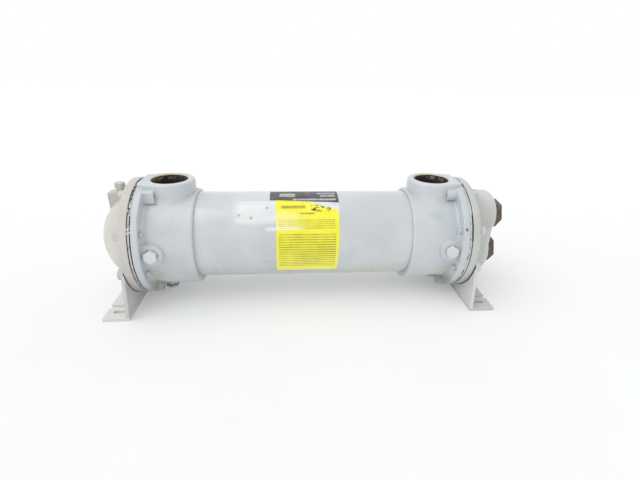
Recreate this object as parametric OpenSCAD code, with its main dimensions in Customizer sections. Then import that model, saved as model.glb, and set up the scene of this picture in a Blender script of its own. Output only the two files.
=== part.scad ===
// Shell and tube heat exchanger, two pass, on two angle brackets.
// Frame: X along the shell, Z up, floor at Z = 0, origin at the centre of the foot slots.

/* [Shell] */
// Outside diameter of the shell tube
shell_od = 152.4; // [148:0.2:156]
// Wall thickness of the shell tube
shell_wall = 4.8; // [3.5:0.1:6]
// Height of the shell axis above the floor
axis_h = 110; // [108:0.5:116]
// Distance between the two shell ports
port_spacing = 457.2; // [420:1:520]

/* [Hubs] */
// Mean casting wall of a hub neck outside the shell tube
neck_wall = 8.2; // [7.2:0.2:9]
// Drop of the neck centre below the shell axis
neck_drop = 2.4; // [0:0.2:2.8]
// Length of the hub neck between the port boss and the seam
seam_margin = 3.4; // [2:0.2:8]
// Distance from the port axis to the flange face of the hub
port_to_face = 44.2; // [43:0.1:46]
// Reach of every round flange beyond the shell tube
flange_reach = 25.4; // [24.6:0.2:27]
// Thickness of the hub flange
hub_flange_t = 10.8; // [9:0.2:11.6]
// Depth of the socket that takes the shell tube
socket_depth = 10; // [8:0.5:10]
// Radius of the threaded opening of a shell port
port_r = 30; // [28:0.5:30]
// Height of the port face above the flange rim
port_lip = 0.6; // [0.4:0.2:2]
// Outside radius of the port boss
boss_r = 42; // [40:0.5:44]
// Half width of the port boss where it meets the flange face
boss_tip_half = 31; // [28:0.5:32]
// Edge rounding of the port boss
boss_round = 4; // [2:0.5:5]
// Radius of the wide blend from the port boss to the neck
boss_fillet = 22; // [16:0.5:26]

/* [Bonnets] */
// Thickness of a bonnet flange
bonnet_flange_t = 13.9; // [11:0.1:15]
// Height of the dome of the left bonnet above its flange
dome_rise = 56; // [50:1:60]
// Distance from the bolt circle to the foot of the dome
dome_gap = 9; // [8.6:0.2:12]
// Casting wall of both bonnets
bonnet_wall = 6; // [5:0.5:8]
// Radius of each round nozzle body of the right bonnet
nozzle_r = 43.5; // [42:0.5:45]
// Distance of each nozzle axis above or below the shell axis
nozzle_offset = 35.8; // [34:0.2:37]
// Length of the nozzle bodies beyond the flange
nozzle_length = 55.7; // [50:0.5:60]
// Size across flats of the bushings
bushing_af = 45.6; // [44:0.2:48]
// Length of the visible head of a bushing
bushing_head = 15.5; // [12:0.5:18]
// Radius of the threaded opening of a bushing
bushing_bore_r = 15; // [12:0.5:16]

/* [Plates] */
// Thickness of a tube sheet
sheet_t = 2.4; // [2:0.2:4]
// Thickness of a gasket
gasket_t = 1.6; // [1:0.1:2]

/* [Bolting] */
// Distance from the bolt circle to the flange rim
bolt_edge = 11.1; // [10:0.1:11.8]
// Radius of a bolt hole
bolt_hole_r = 5.2; // [4.8:0.1:5.5]

/* [Brackets] */
// Steel thickness of the brackets
bracket_t = 5; // [4:0.5:6]
// Length of the foot flange measured along the shell
foot_length = 39; // [37:0.5:44]
// Half width of the bracket at the floor
foot_half = 109; // [106:0.5:112]
// Half width of the bracket plate at its top
plate_top_half = 96; // [94:0.5:98]
// Drop of the plate top below the shell axis
plate_drop = 18; // [16:0.5:22]
// Distance of a foot slot from the middle plane
slot_y = 88.5; // [87:0.5:90]
// Half width of a foot slot
slot_half = 3.8; // [3.2:0.1:4.2]
// Length of a foot slot, end to end
slot_length = 21; // [18:0.5:23]

/* [Tubes] */
// Outside radius of a tube
tube_r = 7.94; // [7:0.02:8]
// Wall thickness of a tube
tube_wall = 1.2; // [0.8:0.1:1.5]
// Distance between neighbouring tubes
tube_pitch = 20.6; // [19.5:0.1:20.8]
// Thickness of a baffle
baffle_t = 3; // [2:0.5:4]
// Radius of a tie rod
tie_rod_r = 3.2; // [2.5:0.1:3.5]

/* [Hidden] */
$fn = 96;
eps = 0.5;
fit_gap = 0.2;
port_x = port_spacing / 2;
flange_r = shell_od / 2 + flange_reach;
port_face = flange_r + port_lip;
bolt_circle_r = flange_r - bolt_edge;
dome_base_r = bolt_circle_r - dome_gap;
neck_r = shell_od / 2 + neck_wall;
hub_face_x = port_x + port_to_face;
seam_x = port_x - boss_r - seam_margin;
hub_length = hub_face_x - seam_x;
flange_back_x = hub_face_x - hub_flange_t;
sheet_x = hub_face_x + gasket_t;
outer_gasket_x = sheet_x + sheet_t;
bonnet_x = outer_gasket_x + gasket_t;
bonnet_out_x = bonnet_x + bonnet_flange_t;
shell_r = shell_od / 2;
shell_in_r = shell_r - shell_wall;
shell_end_x = seam_x + socket_depth;
socket_r = shell_r + fit_gap;
lip_t = 3;
lip_r = shell_in_r;
cavity_r = shell_r;
hub_fillet = 5;
seam_round = 3;
rim_round = 1.5;
bonnet_rim_round = 4.5;
mouth_chamfer = 1.5;
blend_cross = 0.3;
skirt_r = boss_r + boss_fillet - blend_cross;
skirt_z = sqrt(pow(neck_r + boss_fillet - blend_cross, 2) - pow(skirt_r, 2)) - neck_drop;
skirt_out_r = skirt_r * neck_r / (neck_r + boss_fillet);
skirt_in_r = boss_r - 6;
plug_x = hub_face_x - 24.2;
plug_boss_r = 18.5;
plug_block_half = plug_boss_r - 0.4;
plug_boss_l = 20;
plug_boss_face = shell_r + 12.8;
drain_face = neck_r + neck_drop + 3.2;
plug_thread_r = 8;
plug_thread_l = 11;
plug_head_af = 19;
plug_head_t = 7;
drain_head_af = 21;
left_drain_head_t = 16;
right_drain_head_t = 3;
bolt_count = 8;
lug_half = 10.5;
lug_length = 17;
low_lug_length = 8;
gasket_in_r = shell_r - 2.2;
gasket_out_r = flange_r - 0.8;
sheet_out_r = flange_r - 0.5;
dome_cap_r = (dome_base_r * dome_base_r + dome_rise * dome_rise) / (2 * dome_rise);
vent_x = bonnet_out_x + 19.5;
vent_block_x = bonnet_out_x + 10.5;
vent_block_l = 27.5;
vent_block_half = 11;
vent_boss_top = dome_base_r - 1.5;
vent_stub = 6;
vent_thread_r = 5.5;
vent_head_af = 16;
vent_head_t = 9.5;
rib_half = 4;
nozzle_face_x = bonnet_out_x + nozzle_length;
nozzle_round = 15;
nozzle_bore_r = 21;
chamber_r = nozzle_r - bonnet_wall;
nozzle_face_t = 10;
bushing_body_r = nozzle_bore_r - fit_gap;
bushing_body_l = 18;
bushing_lean = 38;
foot_x = bonnet_out_x + foot_length + bracket_t;
slot_x = foot_x - 21;
notch_y = 72;
notch_half = 4.5;
notch_x = foot_x - 24;
plate_cut_r = dome_base_r + 2.5;
row_rise = tube_pitch * sqrt(3) / 2;
tube_end_x = outer_gasket_x;
baffle_r = shell_in_r - 0.5;
baffle_step = 66;
baffle_cut = 30;
tie_rod_y = [22, baffle_r - 9];
tube_margin = 1;
tube_reach = baffle_r - tube_r - tube_margin;
row_count = floor(tube_reach / row_rise);
side_count = ceil(2 * tube_reach / tube_pitch);

paint = [0.80, 0.82, 0.83];
warm_paint = [0.78, 0.78, 0.76];
dark_seal = [0.13, 0.13, 0.12];
plate_steel = [0.62, 0.63, 0.62];
taupe = [0.38, 0.34, 0.29];
copper = [0.66, 0.40, 0.27];
brass = [0.70, 0.58, 0.34];

// Places a part on the shell axis with its own height along X
module along_x(x) {
    translate([x, 0, axis_h])
        rotate([0, 90, 0])
            children();
}

// Mirrors a right hand part to the left end
module left_end() {
    mirror([1, 0, 0])
        children();
}

// Straight holes of the bolt circle
module bolt_holes(x1, x2) {
    for (i = [0 : bolt_count - 1])
        along_x(x1)
            at_bolt(i)
                cylinder(h = x2 - x1, r = bolt_hole_r, $fn = 32);
}

// Corner cutter: the part of a square that lies outside a quarter circle
module corner_cut(r) {
    difference() {
        square([r + eps, r + eps]);
        circle(r = r);
    }
}

// Round flange with both rim edges eased, the outer one by its own amount
module flange_disc(x, t, outer_round) {
    along_x(x)
        rotate_extrude()
            difference() {
                square([flange_r, t]);
                translate([flange_r - outer_round, t - outer_round])
                    corner_cut(outer_round);
                translate([flange_r - rim_round, rim_round])
                    mirror([0, 1])
                        corner_cut(rim_round);
            }
}

// Neck of the hub, its seam edge rounded and a fillet at the flange
module hub_neck() {
    translate([0, 0, axis_h - neck_drop])
        rotate([0, 90, 0])
            rotate_extrude()
                difference() {
                    union() {
                        translate([0, seam_x])
                            square([neck_r, flange_back_x - seam_x + eps]);
                        translate([neck_r - eps, flange_back_x - hub_fillet])
                            square([hub_fillet + eps, hub_fillet]);
                    }
                    translate([neck_r + hub_fillet, flange_back_x - hub_fillet])
                        circle(r = hub_fillet);
                    translate([neck_r - seam_round, seam_x + seam_round])
                        mirror([0, 1])
                            corner_cut(seam_round);
                }
}

// Inner space of the hub: socket, lip and cavity
module hub_inside() {
    along_x(seam_x - eps)
        cylinder(h = socket_depth + eps, r = socket_r);
    along_x(seam_x)
        cylinder(h = hub_length + eps, r = lip_r);
    along_x(seam_x + socket_depth + lip_t)
        cylinder(h = hub_length, r = cavity_r);
}

// Plan of the port boss seen from the port axis: round towards the shell, with straight
// sides that close in towards the flange
boss_tip = [port_to_face, boss_tip_half];
boss_turn = atan2(boss_tip[1], boss_tip[0]) + acos(boss_r / norm(boss_tip)) + 7;
boss_touch = boss_r * [cos(boss_turn), sin(boss_turn)];
boss_side = boss_touch - boss_tip;
boss_side_l = norm(boss_side);
boss_over = 6;
boss_limit = boss_touch + boss_side * boss_over / boss_side_l;
boss_back = boss_r + 1;
side_round = boss_round - 0.4;

module boss_plan() {
    intersection() {
        union() {
            circle(r = boss_r);
            translate([boss_touch[0] + 1, -boss_limit[1]])
                square([port_to_face - boss_touch[0] - 1, 2 * boss_limit[1]]);
        }
        polygon([[-boss_back, -boss_limit[1]],
                 [boss_limit[0], -boss_limit[1]],
                 [boss_tip[0], -boss_tip[1]],
                 [boss_tip[0], boss_tip[1]],
                 [boss_limit[0], boss_limit[1]],
                 [-boss_back, boss_limit[1]]]);
    }
}

// Bevel cutter: three narrow bevels in place of a quarter circle, run out past both faces
module bevel_cut(r) {
    out = eps / 2;
    rise = r + out * tan(15);
    polygon([[-out, rise],
             [r * sin(30), r * cos(30)],
             [r * cos(30), r * sin(30)],
             [rise, -out],
             [r + eps, -out],
             [r + eps, r + eps],
             [-out, r + eps]]);
}

// Takes the sharp top edge off the round side of the port boss
module round_easing() {
    translate([0, 0, port_face - boss_round])
        rotate([0, 0, boss_turn - boss_over])
            rotate_extrude(angle = 360 - 2 * (boss_turn - boss_over))
                translate([boss_r - boss_round, 0])
                    bevel_cut(boss_round);
}

// Takes the sharp top edge off one straight side of the port boss
module side_easing() {
    translate([boss_limit[0], boss_limit[1], port_face - side_round])
        rotate([90, 0, 90 + atan2(-boss_side[1], -boss_side[0])])
            linear_extrude(height = boss_side_l + boss_over + 2)
                translate([-side_round, 0])
                    bevel_cut(side_round);
}

// Port boss with its eased top edge
module port_boss() {
    translate([port_x, 0, axis_h])
        difference() {
            linear_extrude(height = port_face)
                boss_plan();
            round_easing();
            side_easing();
            mirror([0, 1, 0])
                side_easing();
        }
}

// Wide blend between the port boss and the two flanks of the neck
module boss_skirt() {
    translate([port_x, 0, axis_h])
        intersection() {
            rotate_extrude()
                difference() {
                    translate([skirt_in_r, 0])
                        square([skirt_out_r - skirt_in_r, skirt_z]);
                    translate([skirt_r, skirt_z])
                        circle(r = boss_fillet);
                }
            translate([-skirt_in_r, -skirt_out_r - 1, -1])
                cube([2 * skirt_in_r, 2 * skirt_out_r + 2, skirt_z + 2]);
        }
}

// Threaded opening of a shell port, with a chamfered mouth
module port_opening() {
    translate([port_x, 0, axis_h])
        cylinder(h = port_face + eps, r = port_r);
    translate([port_x, 0, axis_h + port_face - mouth_chamfer])
        cylinder(h = mouth_chamfer + eps, r1 = port_r, r2 = port_r + mouth_chamfer + eps);
}

// Bosses for the two side plugs and the drain plug of a hub; the side ones run to the flange
module plug_bosses() {
    for (side = [0, 1])
        mirror([0, side, 0]) {
            translate([plug_x, plug_boss_face, axis_h])
                rotate([90, 0, 0])
                    cylinder(h = plug_boss_l, r = plug_boss_r);
            translate([plug_x, plug_boss_face - plug_boss_l, axis_h - plug_block_half])
                cube([flange_back_x - plug_x + 1, plug_boss_l, 2 * plug_block_half]);
        }
    translate([plug_x, 0, axis_h - drain_face])
        cylinder(h = plug_boss_l, r = plug_boss_r);
}

module plug_holes() {
    for (side = [-1, 1])
        translate([plug_x, side * (plug_boss_face + eps), axis_h])
            rotate([side * 90, 0, 0])
                cylinder(h = plug_boss_l + eps, r = plug_thread_r + fit_gap, $fn = 48);
    translate([plug_x, 0, axis_h - drain_face - eps])
        cylinder(h = plug_boss_l + eps, r = plug_thread_r + fit_gap, $fn = 48);
}

// Turn of each bolt, and the length of its lug behind the hub flange: long ones at the
// top, short ones at the bottom and none at the sides
function bolt_turn(i) = (i + 0.5) * 360 / bolt_count;
function lug_reach(i) = cos(bolt_turn(i)) < -0.7 ? lug_length
                      : cos(bolt_turn(i)) > 0.7 ? low_lug_length : 0;

module at_bolt(i) {
    translate([bolt_circle_r * cos(bolt_turn(i)), bolt_circle_r * sin(bolt_turn(i)), 0])
        children();
}

// Bolt lugs behind the hub flange, square or round
module hub_lugs(square_lugs) {
    for (i = [0 : bolt_count - 1])
        if (lug_reach(i) > 0)
            along_x(flange_back_x - lug_reach(i))
                at_bolt(i)
                    if (square_lugs)
                        translate([-lug_half, -lug_half, 0])
                            cube([2 * lug_half, 2 * lug_half, lug_reach(i) + eps]);
                    else
                        cylinder(h = lug_reach(i) + eps, r = lug_half, $fn = 64);
}

// Bolt holes through the hub flange and its lugs
module hub_bolt_holes() {
    for (i = [0 : bolt_count - 1])
        along_x(flange_back_x - lug_reach(i) - eps)
            at_bolt(i)
                cylinder(h = lug_reach(i) + hub_flange_t + 2 * eps, r = bolt_hole_r, $fn = 32);
}

module hub(square_lugs) {
    difference() {
        union() {
            hub_neck();
            flange_disc(flange_back_x, hub_flange_t, rim_round);
            port_boss();
            boss_skirt();
            plug_bosses();
            intersection() {
                hub_lugs(square_lugs);
                along_x(seam_x)
                    cylinder(h = hub_length - 1, r = flange_r - 0.4);
            }
        }
        hub_inside();
        port_opening();
        plug_holes();
        hub_bolt_holes();
    }
}

// Flat ring with bolt holes and, for the two pass end, a bar across the middle
module gasket(x, bar) {
    difference() {
        along_x(x)
            difference() {
                cylinder(h = gasket_t, r = gasket_out_r);
                difference() {
                    translate([0, 0, -eps])
                        cylinder(h = gasket_t + 2 * eps, r = gasket_in_r);
                    if (bar)
                        translate([-rib_half, -gasket_out_r, -2 * eps])
                            cube([2 * rib_half, 2 * gasket_out_r, gasket_t + 4 * eps]);
                }
            }
        bolt_holes(x - eps, x + gasket_t + eps);
    }
}

// Centres of the tubes of one half, as across and up distances: every place of the
// lattice that the baffles can hold
function tube_places() = [
    for (row = [1 : row_count], i = [-side_count : side_count])
        let (place = [i * tube_pitch / 2, row * row_rise])
            if ((i + row) % 2 == 0 && norm(place) < tube_reach) place];

module at_tubes(up) {
    for (place = tube_places())
        translate([0, place[0], axis_h + up * place[1]])
            rotate([0, 90, 0])
                children();
}

module tube_sheet() {
    difference() {
        along_x(sheet_x)
            cylinder(h = sheet_t, r = sheet_out_r);
        bolt_holes(sheet_x - eps, sheet_x + sheet_t + eps);
        for (up = [-1, 1])
            at_tubes(up)
                translate([0, 0, sheet_x - eps])
                    cylinder(h = sheet_t + 2 * eps, r = tube_r + fit_gap, $fn = 48);
    }
}

module shell_tube() {
    color(paint)
        difference() {
            along_x(-shell_end_x)
                cylinder(h = 2 * shell_end_x, r = shell_r);
            along_x(-shell_end_x - eps)
                cylinder(h = 2 * shell_end_x + 2 * eps, r = shell_in_r);
        }
}

module left_hub() {
    color(paint)
        left_end()
            hub(true);
}

module right_hub() {
    color(paint)
        hub(false);
}

module left_hub_gasket() {
    color(dark_seal)
        left_end()
            gasket(hub_face_x, false);
}

module right_hub_gasket() {
    color(dark_seal)
        gasket(hub_face_x, false);
}

module left_tube_sheet() {
    color(plate_steel)
        left_end()
            tube_sheet();
}

module right_tube_sheet() {
    color(plate_steel)
        tube_sheet();
}

module left_bonnet_gasket() {
    color(dark_seal)
        left_end()
            gasket(outer_gasket_x, false);
}

module right_bonnet_gasket() {
    color(dark_seal)
        gasket(outer_gasket_x, true);
}

// Domed return bonnet, with a square vent boss on top
module left_bonnet() {
    color(warm_paint)
        left_end()
            difference() {
                union() {
                    flange_disc(bonnet_x, bonnet_flange_t, rim_round);
                    intersection() {
                        along_x(bonnet_out_x + dome_rise - dome_cap_r)
                            sphere(r = dome_cap_r);
                        along_x(bonnet_x)
                            cylinder(h = bonnet_flange_t + dome_rise, r = flange_r);
                    }
                    translate([vent_block_x, -vent_block_half, axis_h])
                        cube([vent_block_l, 2 * vent_block_half, vent_boss_top]);
                }
                intersection() {
                    along_x(bonnet_out_x + dome_rise - dome_cap_r)
                        sphere(r = dome_cap_r - bonnet_wall);
                    along_x(bonnet_x - eps)
                        cylinder(h = bonnet_flange_t + dome_rise, r = gasket_in_r);
                }
                translate([vent_x, 0, axis_h])
                    cylinder(h = vent_boss_top + eps, r = vent_thread_r + fit_gap, $fn = 48);
                bolt_holes(bonnet_x - eps, bonnet_out_x + eps);
            }
}

// One rounded nozzle body about its own axis
module nozzle_body(up) {
    translate([bonnet_x, 0, axis_h + up * nozzle_offset])
        rotate([0, 90, 0])
            rotate_extrude()
                difference() {
                    square([nozzle_r, nozzle_face_x - bonnet_x]);
                    translate([nozzle_r - nozzle_round, nozzle_face_x - bonnet_x - nozzle_round])
                        difference() {
                            square([nozzle_round + eps, nozzle_round + eps]);
                            circle(r = nozzle_round);
                        }
                }
}

// Two pass bonnet: two nozzles, two chambers and the rib that parts them
module right_bonnet() {
    color(warm_paint)
        difference() {
            union() {
                flange_disc(bonnet_x, bonnet_flange_t, bonnet_rim_round);
                nozzle_body(1);
                nozzle_body(-1);
                translate([bonnet_x, 2 - nozzle_r, axis_h - nozzle_offset])
                    cube([nozzle_length + bonnet_flange_t - nozzle_round,
                          2 * nozzle_r - 4,
                          2 * nozzle_offset]);
                translate([bonnet_x, nozzle_round - nozzle_r, axis_h - nozzle_offset])
                    cube([nozzle_face_x - bonnet_x - 2,
                          2 * nozzle_r - 2 * nozzle_round,
                          2 * nozzle_offset]);
                for (side = [-1, 1])
                    translate([nozzle_face_x - nozzle_round - 2,
                               side * (nozzle_r - nozzle_round - 2),
                               axis_h - nozzle_offset])
                        cylinder(h = 2 * nozzle_offset, r = nozzle_round);
            }
            for (up = [-1, 1])
                translate([0, 0, axis_h + up * nozzle_offset])
                    rotate([0, 90, 0]) {
                        difference() {
                            translate([0, 0, bonnet_x - eps])
                                cylinder(h = bonnet_flange_t + nozzle_length - nozzle_face_t + eps,
                                         r = chamber_r);
                            translate([up * nozzle_offset - rib_half, -chamber_r, 0])
                                cube([2 * rib_half, 2 * chamber_r, nozzle_face_x]);
                        }
                        translate([0, 0, nozzle_face_x - nozzle_face_t - eps])
                            cylinder(h = nozzle_face_t + 2 * eps, r = nozzle_bore_r);
                    }
            difference() {
                along_x(bonnet_x - eps)
                    cylinder(h = bonnet_flange_t - bonnet_wall + eps, r = gasket_in_r);
                translate([bonnet_x - 2 * eps, -flange_r, axis_h - rib_half])
                    cube([bonnet_flange_t, 2 * flange_r, 2 * rib_half]);
            }
            bolt_holes(bonnet_x - eps, bonnet_out_x + eps);
        }
}

// Hexagon of a given size across flats
module hex_bar(af, h) {
    cylinder(h = h, r = af / sqrt(3), $fn = 6);
}

module left_bonnet_plug() {
    color(warm_paint)
        translate([-vent_x, 0, axis_h + vent_boss_top - 12])
            union() {
                cylinder(h = 12 + vent_stub + eps, r = vent_thread_r, $fn = 48);
                translate([0, 0, 12 + vent_stub])
                    hex_bar(vent_head_af, vent_head_t);
            }
}

// Threaded hexagon bushing in a nozzle
module bushing(up) {
    translate([nozzle_face_x, 0, axis_h + up * nozzle_offset])
        rotate([0, 90, 0])
            difference() {
                union() {
                    translate([0, 0, -bushing_body_l])
                        cylinder(h = bushing_body_l + eps, r = bushing_body_r);
                    rotate([0, 0, bushing_lean])
                        hex_bar(bushing_af, bushing_head);
                }
                translate([0, 0, -bushing_body_l - eps])
                    cylinder(h = bushing_body_l + bushing_head + 2 * eps, r = bushing_bore_r);
            }
}

module upper_bushing() {
    color(taupe)
        bushing(1);
}

module lower_bushing() {
    color(taupe)
        bushing(-1);
}

// Angle bracket: plate with an arched cut on the bonnet, and a slotted foot
module bracket() {
    difference() {
        union() {
            translate([bonnet_out_x, 0, 0])
                rotate([90, 0, 90])
                    linear_extrude(height = bracket_t)
                        polygon([[-foot_half, 0], [foot_half, 0],
                                 [foot_half, bracket_t],
                                 [plate_top_half, axis_h - plate_drop],
                                 [-plate_top_half, axis_h - plate_drop],
                                 [-foot_half, bracket_t]]);
            translate([bonnet_out_x, -foot_half, 0])
                cube([foot_x - bonnet_out_x, 2 * foot_half, bracket_t]);
        }
        along_x(bonnet_out_x - eps)
            cylinder(h = bracket_t + 2 * eps, r = plate_cut_r);
        bolt_holes(bonnet_out_x - eps, bonnet_out_x + bracket_t + eps);
        for (side = [-1, 1]) {
            for (end = [-1, 1])
                translate([slot_x + end * (slot_length / 2 - slot_half), side * slot_y, -eps])
                    cylinder(h = bracket_t + 2 * eps, r = slot_half, $fn = 48);
            translate([slot_x - slot_length / 2 + slot_half, side * slot_y - slot_half, -eps])
                cube([slot_length - 2 * slot_half, 2 * slot_half, bracket_t + 2 * eps]);
            translate([notch_x, side * notch_y - notch_half, -eps])
                cube([foot_x - notch_x + eps, 2 * notch_half, bracket_t + 2 * eps]);
        }
    }
}

module left_bracket() {
    color(paint)
        left_end()
            bracket();
}

module right_bracket() {
    color(paint)
        bracket();
}

// Hexagon plug, its shank down its hole and its head on the boss
module hex_plug(head_af, head_t) {
    translate([0, 0, -plug_thread_l])
        cylinder(h = plug_thread_l + eps, r = plug_thread_r, $fn = 48);
    rotate([0, 0, 30])
        hex_bar(head_af, head_t);
}

module side_plug(side) {
    translate([plug_x, side * plug_boss_face, axis_h])
        rotate([-side * 90, 0, 0])
            hex_plug(plug_head_af, plug_head_t);
}

module drain_plug(head_t) {
    translate([plug_x, 0, axis_h - drain_face])
        rotate([180, 0, 0])
            hex_plug(drain_head_af, head_t);
}

module left_front_plug() {
    color(paint)
        left_end()
            side_plug(-1);
}

module left_rear_plug() {
    color(paint)
        left_end()
            side_plug(1);
}

module right_front_plug() {
    color(paint)
        side_plug(-1);
}

module right_rear_plug() {
    color(paint)
        side_plug(1);
}

module left_drain_plug() {
    color(paint)
        left_end()
            drain_plug(left_drain_head_t);
}

module right_drain_plug() {
    color(paint)
        drain_plug(right_drain_head_t);
}

// Straight tubes of one pass
module tube_pass(up) {
    at_tubes(up)
        translate([0, 0, -tube_end_x])
            difference() {
                cylinder(h = 2 * tube_end_x, r = tube_r, $fn = 48);
                translate([0, 0, -eps])
                    cylinder(h = 2 * tube_end_x + 2 * eps, r = tube_r - tube_wall, $fn = 48);
            }
}

module upper_tubes() {
    color(copper)
        tube_pass(1);
}

module lower_tubes() {
    color(copper)
        tube_pass(-1);
}

module tie_rod_set(grow) {
    for (y = tie_rod_y)
        for (side = [-1, 1])
            translate([-2.5 * baffle_step, side * y, axis_h])
                rotate([0, 90, 0])
                    cylinder(h = 5 * baffle_step, r = tie_rod_r + grow, $fn = 32);
}

// Segment baffle with its window above or below
module baffle(x, up) {
    difference() {
        along_x(x - baffle_t / 2)
            cylinder(h = baffle_t, r = baffle_r);
        translate([x - baffle_t, -baffle_r, axis_h + up * (baffle_cut + baffle_r) - baffle_r])
            cube([2 * baffle_t, 2 * baffle_r, 2 * baffle_r]);
        for (half = [-1, 1])
            at_tubes(half)
                translate([0, 0, x - baffle_t])
                    cylinder(h = 2 * baffle_t, r = tube_r + fit_gap, $fn = 48);
        tie_rod_set(fit_gap);
    }
}

module upper_baffles() {
    color(brass)
        for (i = [-1, 1])
            baffle(i * baffle_step, -1);
}

module lower_baffles() {
    color(brass)
        for (i = [-2, 0, 2])
            baffle(i * baffle_step, 1);
}

module tie_rods() {
    color(plate_steel)
        tie_rod_set(0);
}

shell_tube();
left_hub();
right_hub();
left_hub_gasket();
right_hub_gasket();
left_tube_sheet();
right_tube_sheet();
left_bonnet_gasket();
right_bonnet_gasket();
left_bonnet();
right_bonnet();
left_bonnet_plug();
upper_bushing();
lower_bushing();
left_bracket();
right_bracket();
left_front_plug();
left_rear_plug();
right_front_plug();
right_rear_plug();
left_drain_plug();
right_drain_plug();
upper_tubes();
lower_tubes();
upper_baffles();
lower_baffles();
tie_rods();
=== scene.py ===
import math
import bmesh
import bpy
from mathutils import Matrix, Vector


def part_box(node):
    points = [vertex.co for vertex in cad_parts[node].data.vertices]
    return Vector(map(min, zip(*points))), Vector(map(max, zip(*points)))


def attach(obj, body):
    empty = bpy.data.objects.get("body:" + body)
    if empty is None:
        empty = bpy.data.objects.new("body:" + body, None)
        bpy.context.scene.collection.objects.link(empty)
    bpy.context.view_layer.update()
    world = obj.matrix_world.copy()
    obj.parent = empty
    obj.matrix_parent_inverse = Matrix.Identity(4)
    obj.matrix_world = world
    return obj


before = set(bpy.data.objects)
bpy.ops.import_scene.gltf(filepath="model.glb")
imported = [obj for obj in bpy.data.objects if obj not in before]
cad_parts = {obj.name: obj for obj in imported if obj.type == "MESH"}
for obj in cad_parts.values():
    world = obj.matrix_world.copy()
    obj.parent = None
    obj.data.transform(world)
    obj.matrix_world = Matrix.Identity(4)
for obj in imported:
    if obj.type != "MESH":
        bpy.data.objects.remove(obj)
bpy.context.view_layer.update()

# Places read from the frame, then sizes repeated from the part's source, all in metres.
# In names T is a thickness, R a radius, AF a size across flats. A lug's length starts at the
# flange's back, and a pipe thread's at its mouth.
SHELL_LOW, SHELL_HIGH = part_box("shell_tube")
AXIS_Z = (SHELL_LOW[2] + SHELL_HIGH[2]) / 2
SHELL_R = (SHELL_HIGH[2] - SHELL_LOW[2]) / 2
HUB_FACE_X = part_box("right_hub")[1][0]
BONNET_OUT_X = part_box("right_bracket")[0][0]
SHEET_LOW, SHEET_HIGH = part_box("right_tube_sheet")
SHEET_MID_X = (SHEET_LOW[0] + SHEET_HIGH[0]) / 2
BUSHING_FACE_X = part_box("upper_bushing")[1][0]
PORT_FACE_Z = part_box("left_hub")[1][2]

INCH = 0.0254
HUB_FLANGE_T = 0.0108
FLANGE_REACH = 0.0254
BOLT_EDGE = 0.0111
BRACKET_T = 0.005
PORT_X = 0.2286
PORT_R = 0.030
MOUTH_CHAMFER = 0.0015
PLUG_TO_FACE = 0.0242
NOZZLE_OFFSET = 0.0358
BUSHING_BORE_R = 0.015
BOLT_COUNT = 8
TOP_LUG = 0.017
LOW_LUG = 0.008

FLANGE_BACK_X = HUB_FACE_X - HUB_FLANGE_T
FLANGE_R = SHELL_R + FLANGE_REACH
BOLT_CIRCLE_R = FLANGE_R - BOLT_EDGE
PORT_MOUTH_Z = PORT_FACE_Z - MOUTH_CHAMFER
PLUG_X = HUB_FACE_X - PLUG_TO_FACE

# Fasteners and threads, which only this script draws
BOLT_R = 0.00476
BOLT_AF = 0.0168
BOLT_HEAD = 0.0085
BOLT_PITCH = INCH / 16
BOLT_THREAD = 0.012
SIDE_STUB = 0.0045
PIPE_PITCH = INCH / 11.5
PORT_THREAD = 0.022
BUSHING_THREAD = 0.020


# Mesh helpers

# Rows of points in one turn of a thread
ROWS_A_TURN = 6


def finish_mesh(name, bm, material, smooth_angle=40):
    """Object made of bm, shaded smooth but for the edges that bend by more than smooth_angle."""
    mesh = bpy.data.meshes.new(name)
    bmesh.ops.recalc_face_normals(bm, faces=bm.faces)
    bm.to_mesh(mesh)
    bm.free()
    mesh.materials.append(material)
    obj = bpy.data.objects.new(name, mesh)
    bpy.context.scene.collection.objects.link(obj)
    mesh.shade_smooth()
    mesh.set_sharp_from_angle(angle=math.radians(smooth_angle))
    return obj


def own(obj):
    """Makes a new piece part of the row by hanging it on the root body."""
    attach(obj, "root")


def ring(bm, place, steps, radius_at, height_at):
    """Closed row of points about local Z, moved by place: radius and height depend on the turn."""
    row = []
    for k in range(steps):
        turn = 2 * math.pi * k / steps
        r = radius_at(turn)
        point = Vector((r * math.cos(turn), r * math.sin(turn), height_at(turn)))
        row.append(bm.verts.new(place @ point))
    return row


def skin(bm, rows):
    """Faces from each row to the next."""
    for low, high in zip(rows, rows[1:]):
        for k in range(len(low)):
            m = (k + 1) % len(low)
            bm.faces.new((low[k], low[m], high[m], high[k]))


def capped(bm, rows):
    """Skin over the rows, closed at both ends."""
    skin(bm, rows)
    bm.faces.new(list(reversed(rows[0])))
    bm.faces.new(rows[-1])


def ring_stack(bm, rings, place):
    """One closed skin over rings of (radius function, height function)."""
    capped(bm, [ring(bm, place, 48, radius_at, height_at) for radius_at, height_at in rings])


def steady(value):
    """The same value at every turn."""
    return lambda turn: value


def hex_radius(across, turn):
    """Distance from the middle of a hexagon to its edge, for its size across flats."""
    side = math.pi / 3
    return across / 2 / math.cos((turn % side) - side / 2)


def bolt_place(end, turn, x):
    """Place on the bolt circle of one end, local Z pointing outwards along the shell."""
    across = BOLT_CIRCLE_R * math.cos(turn)
    up = BOLT_CIRCLE_R * math.sin(turn)
    facing = Matrix.Rotation(end * math.pi / 2, 4, "Y")
    return Matrix.Translation((end * x, across, AXIS_Z + up)) @ facing


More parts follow.
